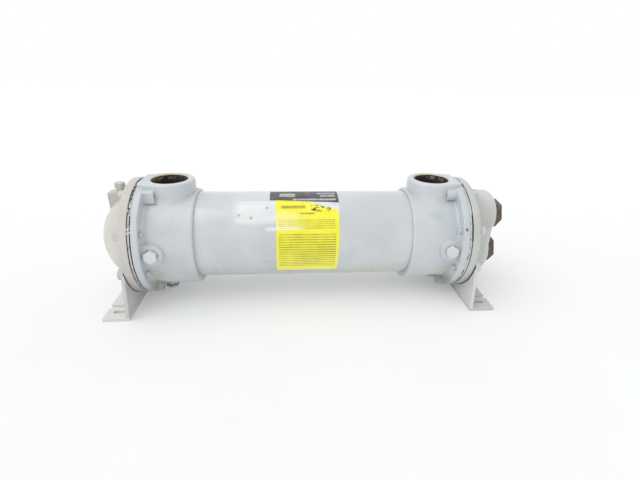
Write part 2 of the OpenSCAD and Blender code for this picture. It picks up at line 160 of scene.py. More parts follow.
def add_hex_head(bm, place, across, height):
    """Hexagon head whose top corners are turned down to a cone, as forged heads are."""
    flat_share, cone_angle = 0.93, 30
    top_r = across / 2 * flat_share
    fall = math.tan(math.radians(cone_angle))

    def edge(turn):
        return height - (hex_radius(across, turn) - top_r) * fall

    ring_stack(bm, [(lambda t: hex_radius(across, t), steady(0.0)),
                    (lambda t: hex_radius(across, t), edge),
                    (steady(top_r), steady(height))], place)


def add_threaded_end(bm, place, radius, pitch, start, end):
    """Screw thread from start to end along local Z, its last stretch narrowed to a cone."""
    depth = pitch * 0.55
    tip, cone = 0.0012, 0.9
    levels = math.ceil((end - start) / pitch * ROWS_A_TURN)

    def radius_at(turn, z):
        wave = 0.5 + 0.5 * math.cos(2 * math.pi * (z / pitch) - turn)
        r = radius - depth * wave
        return min(r, radius - (tip - (end - z)) * cone) if end - z < tip else r

    rows = []
    for level in range(levels + 1):
        z = start + (end - start) * level / levels
        rows.append(ring(bm, place, 32, lambda turn: radius_at(turn, z), steady(z)))
    capped(bm, rows)


def pipe_thread(name, place, radius, length, material):
    """Ridges of an inner pipe thread that lie on a bore wall, as a thin closed sleeve.

    The ridge grows over the first rows, at the mouth, and runs out over the last ones.
    """
    steps = 96
    depth = PIPE_PITCH * 0.5
    wall = 0.00005
    first_rows, last_rows = 6, 9
    levels = int(length / PIPE_PITCH * ROWS_A_TURN)
    bm = bmesh.new()
    inner, outer = [], []
    for level in range(levels + 1):
        z = -length * level / levels
        fade = min(1.0, level / first_rows, (levels - level) / last_rows)

        def ridge_radius(turn):
            phase = (z / PIPE_PITCH - turn / (2 * math.pi)) % 1.0
            return radius - wall - depth * (1 - abs(2 * phase - 1)) * fade

        inner.append(ring(bm, place, steps, ridge_radius, steady(z)))
        outer.append(ring(bm, place, steps, steady(radius - wall / 2), steady(z)))
    skin(bm, inner)
    skin(bm, outer[::-1])
    skin(bm, [outer[0], inner[0]])
    skin(bm, [inner[-1], outer[-1]])
    own(finish_mesh(name, bm, material, 25))


# Material helpers

def srgb(r, g, b):
    """Screen colour from 0 to 255 as the linear colour that a socket takes."""
    def lin(v):
        v = v / 255
        return v / 12.92 if v <= 0.04045 else ((v + 0.055) / 1.055) ** 2.4
    return (lin(r), lin(g), lin(b), 1.0)


class Shade:
    """A node material with short calls for the nodes that these finishes are made of."""

    def __init__(self, name, metallic=0.0, specular=0.5, coat=0.0, coat_rough=0.1):
        self.mat = bpy.data.materials.new(name)
        self.mat.use_nodes = True
        self.tree = self.mat.node_tree
        self.nodes = self.tree.nodes
        self.bsdf = self.nodes["Principled BSDF"]
        self.bsdf.inputs["Metallic"].default_value = metallic
        self.bsdf.inputs["Specular IOR Level"].default_value = specular
        self.bsdf.inputs["Coat Weight"].default_value = coat
        self.bsdf.inputs["Coat Roughness"].default_value = coat_rough
        self.where = self.nodes.new("ShaderNodeNewGeometry").outputs["Position"]
        self.bumps = None

    def link(self, a, b):
        self.tree.links.new(a, b)

    def noise(self, scale, detail=4.0, rough=0.55, stretch=(1, 1, 1), seed=0.0):
        """Blotches from 0 to 1, about scale of them to the metre, drawn out along an axis by stretch."""
        mapping = self.nodes.new("ShaderNodeMapping")
        mapping.inputs["Scale"].default_value = stretch
        mapping.inputs["Location"].default_value = (seed, seed * 0.7, seed * 1.3)
        self.link(self.where, mapping.inputs["Vector"])
        tex = self.nodes.new("ShaderNodeTexNoise")
        tex.inputs["Scale"].default_value = scale
        tex.inputs["Detail"].default_value = detail
        tex.inputs["Roughness"].default_value = rough
        self.link(mapping.outputs["Vector"], tex.inputs["Vector"])
        return tex.outputs["Fac"]

    def ramp(self, value, low, high, out_low=0.0, out_high=1.0):
        """Smooth step from out_low at low to out_high at high, where low may be the larger."""
        node = self.nodes.new("ShaderNodeMapRange")
        node.interpolation_type = "SMOOTHSTEP"
        node.inputs["From Min"].default_value = low
        node.inputs["From Max"].default_value = high
        node.inputs["To Min"].default_value = out_low
        node.inputs["To Max"].default_value = out_high
        self.link(value, node.inputs["Value"])
        return node.outputs["Result"]

    def math(self, kind, a, b=None):
        """Math node of the given kind, each operand a socket or a number."""
        node = self.nodes.new("ShaderNodeMath")
        node.operation = kind
        for socket, value in zip(node.inputs, (a, b)):
            if value is None:
                continue
            if isinstance(value, (int, float)):
                socket.default_value = value
            else:
                self.link(value, socket)
        return node.outputs[0]

    def times(self, *values):
        """Product of masks, with a number as the last if one is given."""
        total = values[0]
        for value in values[1:]:
            total = self.math("MULTIPLY", total, value)
        return total

    def mix(self, amount, a, b):
        """Colour a where amount is 0, b where it is 1."""
        node = self.nodes.new("ShaderNodeMix")
        node.data_type = "RGBA"
        self.link(amount, node.inputs[0])
        for socket, value in ((node.inputs[6], a), (node.inputs[7], b)):
            if isinstance(value, tuple):
                socket.default_value = value
            else:
                self.link(value, socket)
        return node.outputs[2]

    def axis(self, name):
        node = self.nodes.new("ShaderNodeSeparateXYZ")
        self.link(self.where, node.inputs[0])
        return node.outputs[name]

    def far(self, point, squash=(1, 1, 1)):
        """Distance from a point, with each axis weighted by squash."""
        mapping = self.nodes.new("ShaderNodeMapping")
        mapping.inputs["Scale"].default_value = squash
        mapping.inputs["Location"].default_value = [-p * s for p, s in zip(point, squash)]
        self.link(self.where, mapping.inputs["Vector"])
        length = self.nodes.new("ShaderNodeVectorMath")
        length.operation = "LENGTH"
        self.link(mapping.outputs["Vector"], length.inputs[0])
        return length.outputs["Value"]

    def bump(self, height, strength, distance):
        """Adds a bump on top of those set before."""
        node = self.nodes.new("ShaderNodeBump")
        node.inputs["Strength"].default_value = strength
        node.inputs["Distance"].default_value = distance
        self.link(height, node.inputs["Height"])
        if self.bumps is not None:
            self.link(self.bumps, node.inputs["Normal"])
        self.bumps = node.outputs["Normal"]

    def done(self, color, rough):
        """The material, with colour, roughness and bumps joined to its shader."""
        self.link(color, self.bsdf.inputs["Base Color"])
        if isinstance(rough, (int, float)):
            self.bsdf.inputs["Roughness"].default_value = rough
        else:
            self.link(rough, self.bsdf.inputs["Roughness"])
        if self.bumps is not None:
            self.link(self.bumps, self.bsdf.inputs["Normal"])
        return self.mat


# Marks and tones that several finishes share

OILY = srgb(34, 25, 22)
RUST = srgb(128, 72, 44)
GRIME = srgb(150, 144, 112)
PAINT_PALE, PAINT_DEEP = srgb(207, 211, 214), srgb(194, 199, 202)
HUB_PALE, HUB_DEEP = srgb(203, 207, 210), srgb(189, 194, 198)
WARM_PALE, WARM_DEEP = srgb(207, 203, 196), srgb(193, 189, 181)
GREY_PALE, GREY_DEEP = srgb(204, 204, 200), srgb(187, 187, 183)
BRONZE = srgb(206, 178, 122)

# Allowance by which a point on a surface still counts as within it
EDGE = 0.0004


def above_axis(s):
    return s.math("SUBTRACT", s.axis("Z"), AXIS_Z)


def from_shell_axis(s):
    return s.far((0, 0, AXIS_Z), (0, 1, 1))


def away_from_middle(s):
    return s.math("ABSOLUTE", s.axis("X"))


def port_dirt_and_highlight(s, color, port_x):
    """Dark inside of the hub and of its port, and a bronze mouth whose metal colour is strengthened at
    the back as a painted highlight.
    """
    boss_foot = AXIS_Z + 0.03
    from_port = s.far((port_x, 0, AXIS_Z), (1, 1, 0))
    up = s.axis("Z")
    in_boss = s.math("GREATER_THAN", up, boss_foot)
    dark = s.mix(s.ramp(s.noise(150, 5, 0.7), 0.58, 0.72), OILY, RUST)
    bore = s.times(s.math("LESS_THAN", from_port, PORT_R + EDGE), in_boss)
    inside = s.math("LESS_THAN", from_shell_axis(s), SHELL_R + EDGE)
    color = s.mix(inside, s.mix(bore, color, dark), dark)
    # Bronze mouth: metal colour, with a painted highlight that makes it strongest at the back
    mouth = s.times(s.math("LESS_THAN", from_port, PORT_R + 4 * EDGE), in_boss,
                    s.ramp(up, PORT_FACE_Z - 0.004, PORT_FACE_Z - 0.0005),
                    s.ramp(s.axis("Y"), -0.022, 0.008, 0.25, 1.0),
                    s.ramp(s.noise(55, 3, 0.6, seed=6.6), 0.35, 0.6, 0.35, 1.0))
    return s.mix(mouth, color, BRONZE)


def paint(name, pale, deep, cast=0.4, marks=(), port_x=None, glossy=0.26, coat=0.25, extra=None):
    """Old gloss paint, mottled between two tones and finely specked, rougher the higher cast is.

    A mark is (middle, one over its reach along each axis, tint, share).
    """
    s = Shade(name, coat=coat)
    color = s.mix(s.ramp(s.noise(9, 3, 0.5), 0.35, 0.65), deep, pale)
    mottle = s.ramp(s.noise(48, 5, 0.6, seed=3.1), 0.55, 0.78)
    shade = tuple(0.86 * c for c in deep[:3]) + (1.0,)
    color = s.mix(s.times(mottle, 0.12 + 0.46 * cast), color, shade)
    speck = s.ramp(s.noise(420, 2, 0.5, seed=7.7), 0.70, 0.76)
    color = s.mix(s.times(speck, 0.35), color, GRIME)
    for middle, reach, tint, share in marks:
        edge = s.math("ADD", s.far(middle, reach), s.times(s.noise(60, 4, 0.65), 0.9))
        color = s.mix(s.times(s.ramp(edge, 1.35, 0.65), share), color, tint)
    if port_x is not None:
        color = port_dirt_and_highlight(s, color, port_x)
    if extra:
        color = extra(s, color)
    s.bump(s.noise(620, 3, 0.5), 0.02 + cast * 0.34, 0.0003)
    s.bump(s.noise(60, 4, 0.5, seed=1.9), 0.01 + cast * 0.44, 0.0011)
    return s.done(color, s.ramp(s.noise(35, 4, 0.6, seed=5.5), 0.3, 0.7, glossy, glossy + 0.16))


# Hubs

def hub_marks(end):
    """Grime low on the flange, below the side plugs and beneath the neck."""
    low_flange = (end * (FLANGE_BACK_X + 0.002), -0.055, AXIS_Z - 0.078)
    below_plug = (end * PLUG_X, -0.070, AXIS_Z - 0.040)
    neck_low = (end * 0.225, -0.03, AXIS_Z - 0.086)
    return [(low_flange, (30, 18, 24), srgb(152, 155, 140), 0.6),
            (below_plug, (45, 20, 34), srgb(176, 178, 164), 0.5),
            (neck_low, (14, 14, 60), srgb(180, 182, 168), 0.4)]


def plug_rings(s, color):
    """Dark ring around the foot of the side plugs: dirt, with painted shade in the crevice where plug
    meets boss.
    """
    along = s.math("SUBTRACT", away_from_middle(s), PLUG_X)
    up = above_axis(s)
    from_plug = s.math("SQRT", s.math("ADD", s.times(along, along), s.times(up, up)))
    broken = s.math("ADD", from_plug, s.times(s.noise(160, 3, 0.6, seed=8.3), 0.003))
    # Painted crevice shade with dirt, as a dark ring at each plug's foot
    return s.mix(s.times(s.ramp(broken, 0.0136, 0.0118), 0.7), color, srgb(122, 124, 122))


RUST_SPOT = ((FLANGE_BACK_X + 0.0045, -0.093, AXIS_Z + 0.041), (210, 210, 210), srgb(118, 74, 62), 0.85)
GREEN_SMUDGE = ((0.2235, -0.0636, AXIS_Z + 0.0549), (50, 60, 120), srgb(180, 188, 178), 0.5)
# A dark patch low on the front of the right hub's neck
DARK_PATCH_LOW = ((0.2340, -0.0560, AXIS_Z - 0.0660), (50, 40, 90), srgb(60, 62, 62), 0.95)
LEFT_HUB = paint("left_hub_paint", HUB_PALE, HUB_DEEP, 0.5, hub_marks(-1), -PORT_X, extra=plug_rings)
RIGHT_HUB = paint("right_hub_paint", HUB_PALE, HUB_DEEP, 0.5,
                  hub_marks(1) + [RUST_SPOT, GREEN_SMUDGE, DARK_PATCH_LOW], PORT_X, extra=plug_rings)


# Shell: a painted reflection beside the yellow label, as a pale patch and a strip, and the marks on and
# below them

# Pale tint of a painted reflection on the shell
SHEEN_TINT = srgb(241, 241, 238)
SPOT = srgb(150, 150, 150)
UNDERSIDE = srgb(184, 186, 170)
# Grey smudges that lie in the painted reflection
SPOTS_ON_SHEEN = [(-0.110, -0.0529, 0.0548), (-0.090, -0.0566, 0.0510), (-0.064, -0.0420, 0.0635)]


def shell_marks(s, color):
    """Greyer and greener towards the underside, a painted reflection as a pale streaked patch left of
    the label, and grey spots on it.
    """
    up = above_axis(s)
    # Greyer and greener towards the underside
    color = s.mix(s.times(s.ramp(up, -0.020, -0.060), 0.5), color, UNDERSIDE)
    streaks = s.noise(60, 3, 0.5, stretch=(0.15, 1, 1), seed=4.2)
    # Painted reflection: a pale streaked patch left of the label, with straight edges
    sheen = s.times(s.ramp(streaks, 0.35, 0.65, 0.48, 0.85),
                   s.ramp(s.axis("X"), -0.124, -0.106), s.ramp(s.axis("X"), -0.040, -0.046),
                   s.ramp(up, 0.0390, 0.0510), s.ramp(up, 0.0716, 0.0700),
                   s.math("LESS_THAN", s.axis("Y"), 0))
    color = s.mix(sheen, color, SHEEN_TINT)
    for x, y, height in SPOTS_ON_SHEEN:
        spot = s.ramp(s.far((x, y, AXIS_Z + height)), 0.0042, 0.0012)
        color = s.mix(s.times(spot, 0.65), color, SPOT)
    return color


# Painted reflection: a pale strip along the shell at the height of the glare on the label
SHEEN_BAND = ((-0.042, -0.068, AXIS_Z + 0.0357), (26, 150, 150), SHEEN_TINT, 0.7)
LOW_SMUDGE = ((-0.067, -0.073, AXIS_Z - 0.0227), (90, 160, 250), srgb(168, 170, 172), 0.6)
SHELL_PAINT = paint("shell_paint", PAINT_PALE, PAINT_DEEP, 0.03, [SHEEN_BAND, LOW_SMUDGE],
                    glossy=0.17, coat=0.8, extra=shell_marks)


# Bonnets, brackets, bolts and plugs

RIM_SHADOW = srgb(70, 68, 66)
# Each foot painted in the brightness it shows as lit, the left lighter than the right
RIGHT_FOOT_AS_LIT, LEFT_FOOT_AS_LIT = srgb(195, 194, 190), srgb(221, 219, 216)


def bracket_painted_light(s, color):
    """Painted shadow on the inner face of each plate around the flange rim, and each foot painted in the
    brightness it shows as lit.
    """
    inner = s.math("LESS_THAN", away_from_middle(s), BONNET_OUT_X + BRACKET_T / 4)
    off_rim = s.math("ABSOLUTE", s.math("SUBTRACT", from_shell_axis(s), FLANGE_R - EDGE / 2))
    broken = s.math("ADD", off_rim, s.times(s.noise(45, 4, 0.6, seed=4.9), 0.0016))
    # Painted shadow: a dark broken ring where the flange rim meets the inner face of each plate
    color = s.mix(s.times(s.ramp(broken, 0.0026, 0.0016), inner), color, RIM_SHADOW)
    # Painted light: the feet take a lit tone of their own, lighter on the left
    foot = s.math("LESS_THAN", s.axis("Z"), BRACKET_T + EDGE / 2)
    lit_tone = s.mix(s.math("LESS_THAN", s.axis("X"), 0), RIGHT_FOOT_AS_LIT, LEFT_FOOT_AS_LIT)
    return s.mix(s.times(foot, 0.8), color, lit_tone)


def bolt_shank(s, color):
    """Gives the threaded end behind the flange the paint of the hub."""
    behind = s.math("LESS_THAN", away_from_middle(s), BONNET_OUT_X - 0.001)
    return s.mix(behind, color, PAINT_DEEP)


# Seat of the one bolt of the right bonnet that shows from the front, darkened on the bonnet and the bolt
# by grime and a painted shadow
EIGHTH = math.pi / BOLT_COUNT
SHADED_BOLT_SEAT = (BONNET_OUT_X, -BOLT_CIRCLE_R * math.cos(EIGHTH), AXIS_Z + BOLT_CIRCLE_R * math.sin(EIGHTH))

LEFT_BONNET = paint("left_bonnet_paint", WARM_PALE, WARM_DEEP, 0.6,
                    [((-BONNET_OUT_X, -0.05, AXIS_Z - 0.07), (25, 16, 20), srgb(180, 174, 152), 0.4)],
                    glossy=0.34)
RIGHT_BONNET = paint("right_bonnet_paint", GREY_PALE, GREY_DEEP, 0.6,
                     [((BONNET_OUT_X, -0.06, AXIS_Z - 0.06), (25, 16, 20), srgb(176, 172, 154), 0.4),
                      # Grime and a painted shadow around the one bolt seen from the front
                      (SHADED_BOLT_SEAT, (75, 75, 75), srgb(84, 80, 76), 0.85)],
                     glossy=0.32)
BRACKET_PAINT = paint("bracket_paint", srgb(212, 213, 211), srgb(196, 197, 196), 0.25,
                      [((-0.32, -0.09, 0.006), (18, 12, 60), srgb(168, 166, 156), 0.35)],
                      glossy=0.3, extra=bracket_painted_light)
BOLT_PAINT = {-1: paint("left_bolt_paint", WARM_PALE, WARM_DEEP, 0.3, glossy=0.3, extra=bolt_shank),
              1: paint("right_bolt_paint", srgb(214, 217, 217), srgb(192, 194, 192), 0.3,
                       # Grime and a painted shadow on the one bolt seen from the front
                       [(SHADED_BOLT_SEAT, (90, 90, 90), srgb(96, 92, 90), 0.8)],
                       glossy=0.22, extra=bolt_shank)}
PLUG_PAINT = paint("plug_paint", srgb(219, 223, 225), srgb(202, 206, 208), 0.3, glossy=0.12)


# Gaskets, tube sheets, bare iron, threads and the tubes

def seal_finish(name, low_cover, high_cover, change):
    """Dark oily gasket edge with paint lapped over it: one share low down, another above change."""
    s = Shade(name, specular=0.4)
    lap = s.noise(95, 3, 0.6, stretch=(0.2, 1, 1), seed=2.2)
    up = s.math("SUBTRACT", s.axis("Z"), AXIS_Z + change)
    cover = s.ramp(up, -0.012, 0.012, low_cover, high_cover)
    color = s.mix(s.ramp(s.noise(300, 4, 0.6), 0.35, 0.65), srgb(38, 36, 36), srgb(72, 68, 62))
    color = s.mix(s.ramp(s.math("ADD", lap, cover), 0.56, 0.60), color, PAINT_DEEP)
    s.bump(s.noise(400, 4, 0.6), 0.4, 0.0006)
    return s.done(color, s.ramp(s.noise(150, 3, 0.6), 0.3, 0.7, 0.45, 0.75))


def sheet_finish(name, dark_spans, dark_from_x):
    """Painted edge of a tube sheet, black on its outer part over some spans of height."""
    soft = 0.004
    s = Shade(name)
    up = above_axis(s)
    outer = s.math("GREATER_THAN", away_from_middle(s), dark_from_x)
    broken = s.noise(120, 4, 0.65, stretch=(0.2, 1, 1), seed=1.4)
    color = s.mix(s.ramp(s.noise(60, 4, 0.6), 0.4, 0.62), srgb(205, 208, 206), srgb(170, 170, 162))
    color = s.mix(s.ramp(s.noise(240, 3, 0.6, seed=4.4), 0.62, 0.7), color, srgb(92, 86, 76))
    for low, high, share in dark_spans:
        bare = s.ramp(broken, 0.58 - share * 0.3, 0.62 - share * 0.3)
        span = s.times(outer, s.ramp(up, low, low + soft), s.ramp(up, high, high - soft), bare)
        color = s.mix(span, color, srgb(40, 38, 38))
    s.bump(s.noise(500, 3, 0.5), 0.3, 0.0004)
    return s.done(color, s.ramp(s.noise(80, 3, 0.5), 0.3, 0.7, 0.35, 0.55))


def iron_finish(name, pale, dark):
    """Bare iron with rusty patches."""
    s = Shade(name, metallic=0.15, specular=0.4)
    color = s.mix(s.ramp(s.noise(110, 5, 0.65), 0.35, 0.68), dark, pale)
    color = s.mix(s.times(s.ramp(s.noise(30, 3, 0.6, seed=8.8), 0.55, 0.7), 0.5), color, RUST)
    s.bump(s.noise(700, 5, 0.6), 0.35, 0.0005)
    return s.done(color, s.ramp(s.noise(160, 4, 0.6), 0.3, 0.7, 0.42, 0.68))


def thread_finish(name, mouth, across, radius):
    """Pipe thread, black with oil, the crests of its first few turns painted bright as glints.

    across holds 1 for the axes across the bore and 0 for the one along it.
    """
    s = Shade(name, metallic=0.2)
    along = tuple(1 - share for share in across)
    crest = s.ramp(s.far(mouth, across), radius - 0.0007, radius - 0.0010)
    wear_and_glint = s.ramp(s.noise(75, 4, 0.7, seed=3.7), 0.53, 0.58)
    shallow = s.ramp(s.far(mouth, along), 0.010, 0.003)
    color = s.mix(s.ramp(s.noise(150, 5, 0.7), 0.58, 0.74), OILY, RUST)
    # Painted glints: the crests near the mouth painted near white
    color = s.mix(s.times(crest, wear_and_glint, shallow), color, srgb(244, 220, 208))
    return s.done(color, s.ramp(s.noise(160, 4, 0.6), 0.3, 0.7, 0.3, 0.55))


def metal_finish(name, pale, dark, rough):
    """Dull bare metal, drawn along the shell."""
    s = Shade(name, metallic=1.0)
    color = s.mix(s.ramp(s.noise(70, 5, 0.6, stretch=(0.2, 1, 1)), 0.3, 0.7), dark, pale)
    s.bump(s.noise(300, 4, 0.6), 0.15, 0.0003)
    return s.done(color, s.ramp(s.noise(120, 3, 0.6), 0.3, 0.7, rough, rough + 0.2))


BARE_SEAL = seal_finish("bare_seal", -0.06, -0.02, 0.06)
RIGHT_BARE_SEAL = seal_finish("right_bare_seal", -0.16, -0.04, 0.07)
HALF_LAPPED_SEAL = seal_finish("half_lapped_seal", -0.05, 0.20, 0.06)
LAPPED_SEAL = seal_finish("lapped_seal", -0.02, 0.20, -0.035)
LEFT_SHEET = sheet_finish("left_sheet_edge", [(0.066, 0.093, 0.5), (0.089, 0.112, 0.9)], 0)
RIGHT_SHEET = sheet_finish("right_sheet_edge", [(0.020, 0.064, 0.95), (0.094, 0.112, 0.6)], SHEET_MID_X)
TAUPE = iron_finish("bushing_iron", srgb(118, 104, 88), srgb(84, 74, 62))
COPPER = metal_finish("tube_copper", srgb(170, 104, 74), srgb(96, 56, 40), 0.35)
STEEL = metal_finish("inner_steel", srgb(128, 122, 112), srgb(74, 68, 62), 0.45)

FINISHES = {
    "shell_tube": SHELL_PAINT,
    "left_hub": LEFT_HUB, "right_hub": RIGHT_HUB,
    "left_hub_gasket": HALF_LAPPED_SEAL, "right_hub_gasket": LAPPED_SEAL,
    "left_tube_sheet": LEFT_SHEET, "right_tube_sheet": RIGHT_SHEET,
    "left_bonnet_gasket": BARE_SEAL, "right_bonnet_gasket": RIGHT_BARE_SEAL,
    "left_bonnet": LEFT_BONNET, "right_bonnet": RIGHT_BONNET,
    "left_bonnet_plug": LEFT_BONNET,
    "upper_bushing": TAUPE, "lower_bushing": TAUPE,
    "left_bracket": BRACKET_PAINT, "right_bracket": BRACKET_PAINT,
    "left_front_plug": PLUG_PAINT, "left_rear_plug": PLUG_PAINT,
    "right_front_plug": PLUG_PAINT, "right_rear_plug": PLUG_PAINT,
    "left_drain_plug": BRACKET_PAINT, "right_drain_plug": BRACKET_PAINT,
    "upper_tubes": COPPER, "lower_tubes": COPPER,
    "upper_baffles": COPPER, "lower_baffles": COPPER,
    "tie_rods": STEEL,
}
for name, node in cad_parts.items():
    node.data.materials.clear()
    node.data.materials.append(FINISHES[name])


# Flange bolts: heads on the bonnets or the brackets, threaded ends at the hub lugs

# Sine of the turn beyond which a bolt counts as one of the top or bottom ones, and how far such
# a bolt ends short of its lug's end or past it
STEEP = 0.7
STUB_STEP = 0.001


def flange_bolt(end, index):
    """One bolt: its threaded end stays inside a top lug, and stands out of the other places."""
    turn = (index + 0.5) * 2 * math.pi / BOLT_COUNT
    up = math.sin(turn)
    seat_x = BONNET_OUT_X + (BRACKET_T if up < 0 else 0)
    if up > STEEP:
        stub = TOP_LUG - STUB_STEP
    elif up < -STEEP:
        stub = LOW_LUG + STUB_STEP
    else:
        stub = SIDE_STUB
    place = bolt_place(end, turn, seat_x)
    bm = bmesh.new()
    as_tightened = 11 + 23 * index + 7 * end
    spin = Matrix.Rotation(math.radians(as_tightened), 4, "Z")
    add_hex_head(bm, place @ spin, BOLT_AF, BOLT_HEAD)
    turned = place @ Matrix.Rotation(math.pi, 4, "X")
    reach = seat_x - (FLANGE_BACK_X - stub)
    shank = reach - BOLT_THREAD
    ring_stack(bm, [(steady(BOLT_R), steady(0.0)), (steady(BOLT_R), steady(shank))], turned)
    add_threaded_end(bm, turned, BOLT_R, BOLT_PITCH, shank, reach)
    side = "left" if end < 0 else "right"
    own(finish_mesh(f"{side}_flange_bolt_{index + 1}", bm, BOLT_PAINT[end], 30))


for end in (-1, 1):
    for index in range(BOLT_COUNT):
        flange_bolt(end, index)


# Pipe threads in the shell ports and the bushings

for side, end in (("left", -1), ("right", 1)):
    mouth = (end * PORT_X, 0, PORT_MOUTH_Z)
    finish = thread_finish(f"{side}_port_thread", mouth, (1, 1, 0), PORT_R)
    pipe_thread(f"{side}_port_thread", Matrix.Translation(mouth), PORT_R, PORT_THREAD, finish)
for side, up in (("upper", 1), ("lower", -1)):
    mouth = (BUSHING_FACE_X, 0, AXIS_Z + up * NOZZLE_OFFSET)
    finish = thread_finish(f"{side}_bushing_thread", mouth, (0, 1, 1), BUSHING_BORE_R)
    place = Matrix.Translation(mouth) @ Matrix.Rotation(math.pi / 2, 4, "Y")
    pipe_thread(f"{side}_bushing_thread", place, BUSHING_BORE_R, BUSHING_THREAD, finish)


# Labels on the front of the shell: curved patches that lie on the paint

def shell_patch(name, outline, lift, thick, material, columns, rows):
    """Patch on the shell: outline(u, v) gives a place along X and an angle above the front."""
    bm = bmesh.new()
    grids = []
    for r in (SHELL_R + lift + thick, SHELL_R + lift):
        grid = []
        for j in range(rows + 1):
            line = []
            for i in range(columns + 1):
                x, angle = outline(i / columns, j / rows)
                a = math.radians(angle)
                line.append(bm.verts.new((x, -r * math.cos(a), AXIS_Z + r * math.sin(a))))
            grid.append(line)
        grids.append(grid)
    top, under = grids
    for j in range(rows):
        for i in range(columns):
            bm.faces.new((top[j][i], top[j][i + 1], top[j + 1][i + 1], top[j + 1][i]))
            bm.faces.new((under[j][i], under[j + 1][i], under[j + 1][i + 1], under[j][i + 1]))
    rim = [(0, i) for i in range(columns)] + [(j, columns) for j in range(rows)]
    rim += [(rows, i) for i in range(columns, 0, -1)] + [(j, 0) for j in range(rows, 0, -1)]
    for (j, i), (m, n) in zip(rim, rim[1:] + rim[:1]):
        bm.faces.new((top[j][i], under[j][i], under[m][n], top[m][n]))
    return finish_mesh(name, bm, material, 30)


def shell_place(s):
    """Place along X in metres and angle above the front of the shell in degrees."""
    front = s.times(s.axis("Y"), -1.0)
    return s.axis("X"), s.times(s.math("ARCTAN2", above_axis(s), front), 180 / math.pi)


def window(s, value, low, high):
    """One between low and high."""
    return s.times(s.math("GREATER_THAN", value, low), s.math("LESS_THAN", value, high))


def box_mask(s, place, x1, x2, low, high):
    """One inside a box on the shell, from x1 to x2 and from angle low to angle high."""
    return s.times(window(s, place[0], x1, x2), window(s, place[1], low, high))


def ruled(s, place, count, share, x1, x2, low, high):
    """Plain ruled lines between the angles low and high, each inked over a share of its pitch."""
    height = s.times(s.math("SUBTRACT", place[1], low), count / (high - low))
    line = s.math("LESS_THAN", s.math("FRACT", height), share)
    return s.times(line, box_mask(s, place, x1, x2, low, high))


def any_of(s, masks):
    """One where any of the masks is."""
    total = masks[0]
    for mask in masks[1:]:
        total = s.math("MAXIMUM", total, mask)
    return total


# Fields on the labels: from x, to x, from angle, to angle; lines also as (number, inked share, field)
YELLOW_BARS = [(-0.040, 0.001, 55.2, 59.8), (-0.009, 0.016, 46.6, 49.0)]
YELLOW_LINES = [(5, 0.42, (-0.045, 0.050, 28.0, 41.0)), (15, 0.48, (-0.045, 0.051, -25.5, 23.0))]
YELLOW_FLECKS = (0.010, 0.046, 50.5, 61.0)
PLATE_FIELDS = [(0.022, 0.054, 84.0, 88.5), (0.027, 0.054, 77.0, 81.0),
                (-0.043, -0.016, 77.0, 86.0), (-0.020, 0.054, 69.0, 72.5)]


def yellow_label():
    """Yellow label with plain ruled lines, blank bars and shapeless flecks, lighter low down and with a
    pale glare across it, both painted reflections.
    """
    s = Shade("yellow_label", coat=0.3, coat_rough=0.15)
    place = shell_place(s)
    base = s.mix(s.ramp(s.noise(40, 4, 0.6), 0.35, 0.65), srgb(242, 234, 38), srgb(248, 241, 64))
    # Painted reflection: the label is lighter low down, where it faces the floor
    base = s.mix(s.ramp(place[1], 4.0, -18.0), base, srgb(254, 246, 84))
    bars = [box_mask(s, place, *field) for field in YELLOW_BARS]
    lines = [ruled(s, place, count, share, *field) for count, share, field in YELLOW_LINES]
    inked = any_of(s, bars + lines)
    faded = s.ramp(s.noise(35, 4, 0.7, seed=6.1), 0.3, 0.7, 0.35, 0.85)
    color = s.mix(s.times(inked, faded), base, srgb(134, 127, 40))
    flecks = s.times(box_mask(s, place, *YELLOW_FLECKS),
                     s.ramp(s.noise(230, 3, 0.6, stretch=(0.6, 1, 1), seed=2.9), 0.53, 0.58))
    color = s.mix(flecks, color, srgb(62, 60, 26))
    # Painted glare: a pale wash and a pale strip across the label, fading out to the right
    fade = s.ramp(place[0], 0.010, -0.030)
    glare_haze = s.times(s.ramp(place[1], 26.0, 30.0), s.ramp(place[1], 56.0, 44.0), fade, 0.30)
    glare_band = s.times(window(s, place[1], 26.0, 30.5), fade, 0.55)
    color = s.mix(glare_haze, color, srgb(252, 246, 214))
    color = s.mix(glare_band, color, srgb(252, 248, 226))
    s.bump(s.noise(120, 3, 0.5), 0.1, 0.0004)
    return s.done(color, s.ramp(s.noise(50, 3, 0.5), 0.3, 0.7, 0.28, 0.42))


def white_label():
    """Blank off-white label."""
    s = Shade("white_label")
    color = s.mix(s.ramp(s.noise(60, 4, 0.6), 0.4, 0.6), srgb(228, 226, 228), srgb(212, 210, 216))
    s.bump(s.noise(260, 3, 0.6), 0.15, 0.0003)
    return s.done(color, s.ramp(s.noise(50, 3, 0.5), 0.3, 0.7, 0.35, 0.5))


def dark_plate():
    """Dark plate with blank pale fields."""
    s = Shade("dark_plate", metallic=0.1)
    place = shell_place(s)
    base = s.mix(s.ramp(s.noise(90, 5, 0.6), 0.35, 0.65), srgb(72, 70, 72), srgb(96, 94, 96))
    fields = any_of(s, [box_mask(s, place, *field) for field in PLATE_FIELDS])
    wear_and_glint = s.ramp(s.noise(220, 4, 0.7, seed=9.4), 0.35, 0.6, 0.45, 0.85)
    color = s.mix(s.times(fields, wear_and_glint), base, srgb(204, 200, 200))
    s.bump(s.noise(300, 3, 0.6), 0.12, 0.0003)
    return s.done(color, s.ramp(s.noise(70, 3, 0.5), 0.3, 0.7, 0.3, 0.5))


def yellow_outline(u, v):
    """Label with a level foot and a torn top edge that falls away to the right."""
    left, right, foot = -0.0490, 0.0575, -35.0
    x = left + (right - left) * u - 0.002 * (1 - v) * u
    top = 70.5 - 20.0 * u * u + 0.7 * math.sin(15 * u)
    ragged = 0.5 * math.sin(47 * u) * v ** 8
    return x, foot + (top + ragged - foot) * v


